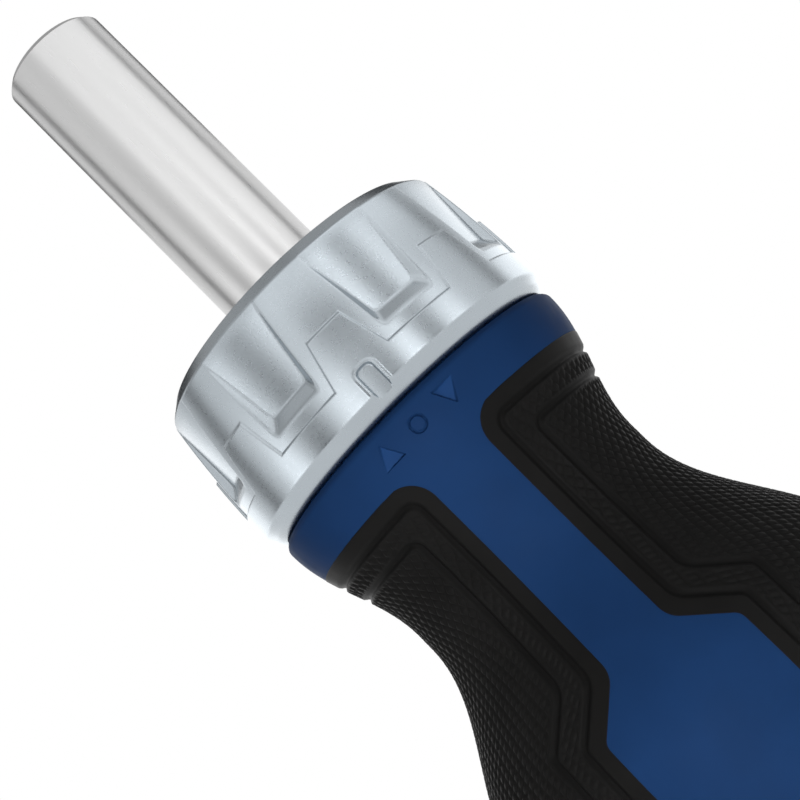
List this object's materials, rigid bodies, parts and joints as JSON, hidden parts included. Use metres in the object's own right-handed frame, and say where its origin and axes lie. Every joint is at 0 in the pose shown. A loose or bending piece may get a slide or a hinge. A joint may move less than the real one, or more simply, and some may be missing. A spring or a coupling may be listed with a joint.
{
  "type": "ratcheting screwdriver",
  "caption": "Ratcheting screwdriver with a fluted turning selector collar, open hex bit socket, soft grip panels on a waisted handle and a pull-out bit magazine in its butt.",
  "frame": {"origin": "centre of the flat butt face, on the tool's axis", "axes": "+Z along the tool's axis from the butt to the tip, -Y the side with the pointer notch, +X to the right seen from there"},
  "size_m": [0.0408, 0.0404, 0.1465],
  "materials": {
    "blue_core": "satin moulded plastic",
    "black_grip": "matt soft-touch rubber",
    "cast_housing": "as cast",
    "screw_steel": "zinc plated",
    "hard_steel": "hardened",
    "bronze": "sintered bronze",
    "spring_steel": "spring steel",
    "black_washer": "plain",
    "shaft_steel": "satin chrome",
    "magnet": "nickel plated",
    "pale_washer": "plain",
    "collar_metal": "fine eroded grain, painted silver grey",
    "black_cap": "fine grain",
    "carrier_plastic": "plain moulded",
    "seal_rubber": "plain",
    "bit_steel": "grey phosphated"
  },
  "bodies": {
    "handle": {"handle_core": "blue_core", "left_grip": "black_grip", "right_grip": "black_grip", "ratchet_housing": "cast_housing", "housing_cover": "cast_housing", "cover_screws": "screw_steel", "housing_screws": "screw_steel", "pawl_pins": "hard_steel", "front_bush": "bronze", "rear_bush": "bronze", "collar_ring": "spring_steel", "wear_washer": "black_washer", "detent_leaf": "spring_steel", "forward_spring": "spring_steel", "reverse_spring": "spring_steel", "stop_ring": "spring_steel"},
    "shaft": {"shaft": "shaft_steel", "ratchet_gear": "hard_steel", "bit_magnet": "magnet", "bit_clip": "spring_steel", "shaft_circlip": "spring_steel", "thrust_washer": "pale_washer"},
    "selector": {"selector_collar": "collar_metal", "selector_cam": "hard_steel"},
    "forward_pawl": {"forward_pawl": "hard_steel"},
    "reverse_pawl": {"reverse_pawl": "hard_steel"},
    "magazine": {"end_cap": "black_cap", "bit_carrier": "carrier_plastic", "cap_seal": "seal_rubber", "phillips_bits": "bit_steel", "slotted_bits": "bit_steel", "hex_bits": "bit_steel"}
  },
  "joints": [
    {"name": "shaft_spin", "type": "hinge", "parent": "handle", "child": "shaft", "pos_m": [0, 0, 0.1], "axis": [0, 0, 1], "continuous": true},
    {"name": "selector_turn", "type": "hinge", "parent": "handle", "child": "selector", "pos_m": [0, 0, 0.107], "axis": [0, 0, 1], "range_deg": [-15, 15], "deforming": ["detent_leaf"]},
    {"name": "forward_pawl_rock", "type": "hinge", "parent": "handle", "child": "forward_pawl", "pos_m": [0.0087, -0.00428, 0.105], "axis": [0, 0, 1], "range_deg": [-5, 5], "deforming": ["forward_spring"]},
    {"name": "reverse_pawl_rock", "type": "hinge", "parent": "handle", "child": "reverse_pawl", "pos_m": [-0.0087, -0.00428, 0.105], "axis": [0, 0, 1], "range_deg": [-5, 5], "deforming": ["reverse_spring"]},
    {"name": "magazine_slide", "type": "slide", "parent": "handle", "child": "magazine", "axis": [0, 0, -1], "range_m": [0, 0.03]}
  ],
  "couplings": [
    {"joint": "forward_pawl_rock", "follows": "selector_turn", "ratio": -0.32809},
    {"joint": "reverse_pawl_rock", "follows": "selector_turn", "ratio": -0.32809}
  ]
}
